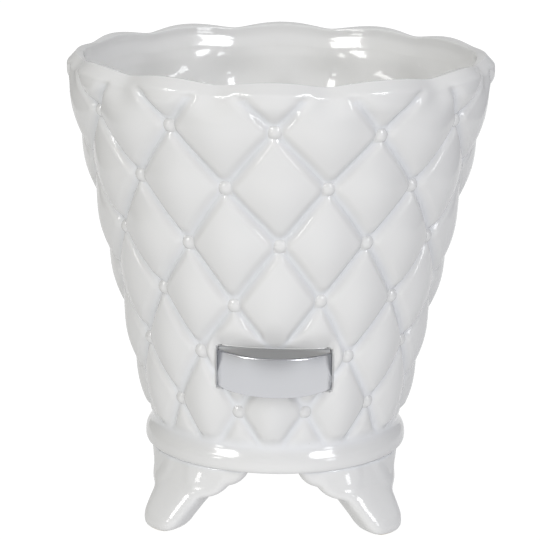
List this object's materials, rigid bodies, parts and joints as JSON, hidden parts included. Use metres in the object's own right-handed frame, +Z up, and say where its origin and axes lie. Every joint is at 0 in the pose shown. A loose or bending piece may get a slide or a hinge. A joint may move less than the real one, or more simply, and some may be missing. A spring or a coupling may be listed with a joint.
{
  "type": "plant pot",
  "caption": "Footed round plant pot, tapered, with a quilted and buttoned glazed wall, a scalloped rim and a bowed bare metal nameplate in a recess on its front.",
  "frame": {"origin": "middle of the four soles, on the surface that the pot stands on", "axes": "+Z up to the rim, -Y towards the front with the nameplate, +X to the right as seen from the front"},
  "size_m": [0.2, 0.2, 0.2173],
  "materials": {
    "glaze": "high gloss white glaze, cooler and thicker in the grooves",
    "chrome": "polished bright metal plating with fine hairline wear",
    "adhesive": "set, matt, off white"
  },
  "bodies": {
    "root": {"pot_body": "glaze", "foot_front_left": "glaze", "foot_front_right": "glaze", "foot_rear_left": "glaze", "foot_rear_right": "glaze", "nameplate": "chrome", "adhesive_pad_left": "adhesive", "adhesive_pad_right": "adhesive"}
  },
  "joints": []
}
